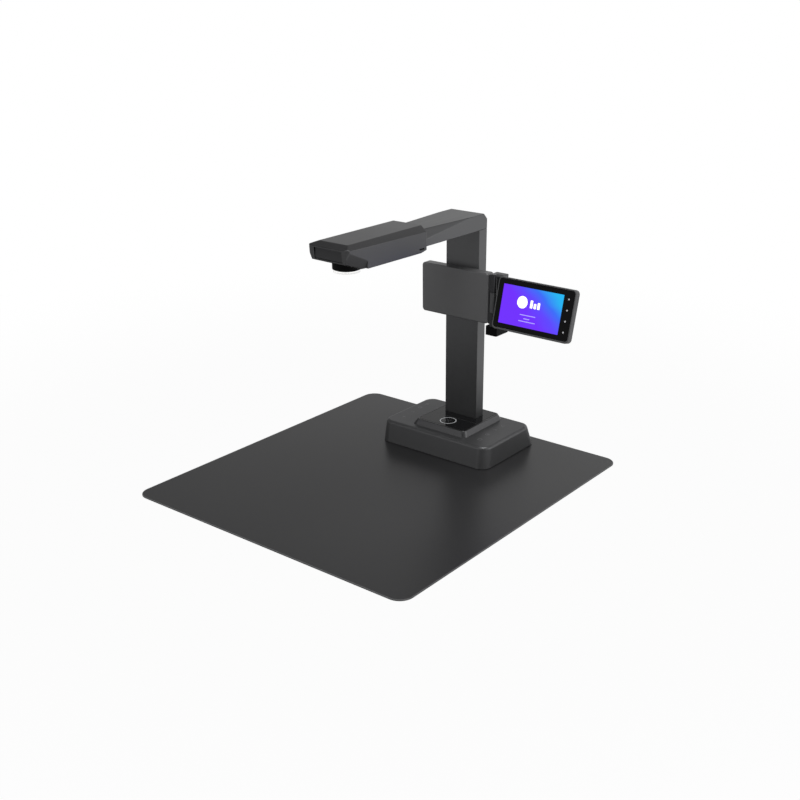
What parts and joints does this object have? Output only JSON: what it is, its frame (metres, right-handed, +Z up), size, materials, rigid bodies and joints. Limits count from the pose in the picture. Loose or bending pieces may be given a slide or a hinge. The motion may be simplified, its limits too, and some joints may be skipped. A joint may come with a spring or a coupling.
{
  "type": "book scanner",
  "caption": "Overhead document and book scanner on a mat: weighted base with touch panel, column and forward arm with a camera and lamp head, and a side display on a swinging, tilting hinge.",
  "frame": {"origin": "centre of the mat's underside, on the surface the scanner stands on", "axes": "+Z up, -Y towards the user (the arm reaches that way), +X to the user's right (display side)"},
  "size_m": [0.48, 0.512, 0.3587],
  "materials": {
    "mat_surface": "fine-grained charcoal sheet",
    "black_rubber": "moulded",
    "body_plastic": "fine spark texture",
    "arm_metal": "dark satin anodised",
    "plate_steel": "powder coated",
    "screw_steel": "blackened",
    "ballast_iron": "cast",
    "board_green": "solder mask",
    "post_brass": "turned",
    "black_plastic": "moulded",
    "socket_steel": "stamped",
    "panel_gloss": "polished black",
    "light_guide": "frosted",
    "cast_aluminium": "cast",
    "window_gloss": "smoked",
    "diffuser_white": "milky",
    "board_white": "white mask",
    "lens_glass": "coated",
    "hinge_metal": "satin black",
    "cover_glass": "black printed glass with a lit screen area"
  },
  "bodies": {
    "stand": {"mat": "mat_surface", "rubber_feet": "black_rubber", "base_shell": "body_plastic", "plinth_housing": "body_plastic", "arm_shell": "arm_metal", "base_plate": "plate_steel", "base_screws": "screw_steel", "ballast_weight": "ballast_iron", "control_board": "board_green", "board_posts": "post_brass", "tact_switch": "black_plastic", "usb_socket": "socket_steel", "dc_inlet": "black_plastic", "touch_panel": "panel_gloss", "ring_light_guide": "light_guide", "column_tube": "arm_metal", "column_foot": "cast_aluminium", "column_foot_screws": "screw_steel", "arm_cover": "body_plastic", "arm_screws": "screw_steel", "arm_beam": "cast_aluminium", "head_shell": "body_plastic", "front_window": "window_gloss", "side_slot_insert": "black_plastic", "head_cover": "body_plastic", "head_screws": "screw_steel", "lens_hood": "black_plastic", "lamp_diffuser": "diffuser_white", "lamp_board": "board_white", "lens_barrel": "black_plastic", "lens_glass": "lens_glass", "camera_board": "board_green", "camera_standoffs": "post_brass", "camera_carrier": "plate_steel", "carrier_screws": "screw_steel", "bracket_cover": "body_plastic", "bracket_plate": "plate_steel", "driver_board": "board_green", "bracket_screws": "screw_steel", "hinge_leaf": "hinge_metal", "hinge_pin": "screw_steel"},
    "button": {"scan_button": "panel_gloss"},
    "swing_arm": {"swing_block": "body_plastic", "swing_cover": "body_plastic", "swing_screws": "screw_steel", "tilt_shaft": "screw_steel", "friction_clamp": "cast_aluminium"},
    "display": {"display_housing": "body_plastic", "display_bezel": "body_plastic", "display_glass": "cover_glass", "lcd_panel": "socket_steel", "display_board": "board_green", "display_mount": "hinge_metal", "mount_screws": "screw_steel"}
  },
  "joints": [
    {"name": "scan_button_press", "type": "slide", "parent": "stand", "child": "button", "axis": [0, 0, -1], "range_m": [0, 0.0008], "stiffness_N_per_m": 1500, "springref_m": -0.0004},
    {"name": "display_swing", "type": "hinge", "parent": "stand", "child": "swing_arm", "pos_m": [0.069, 0.165, 0.233], "axis": [0, 0, 1], "range_deg": [-90, 0]},
    {"name": "display_tilt", "type": "hinge", "parent": "swing_arm", "child": "display", "pos_m": [0.0825, 0.184, 0.2324], "axis": [-1, 0, 0], "range_deg": [-29, 46]}
  ]
}
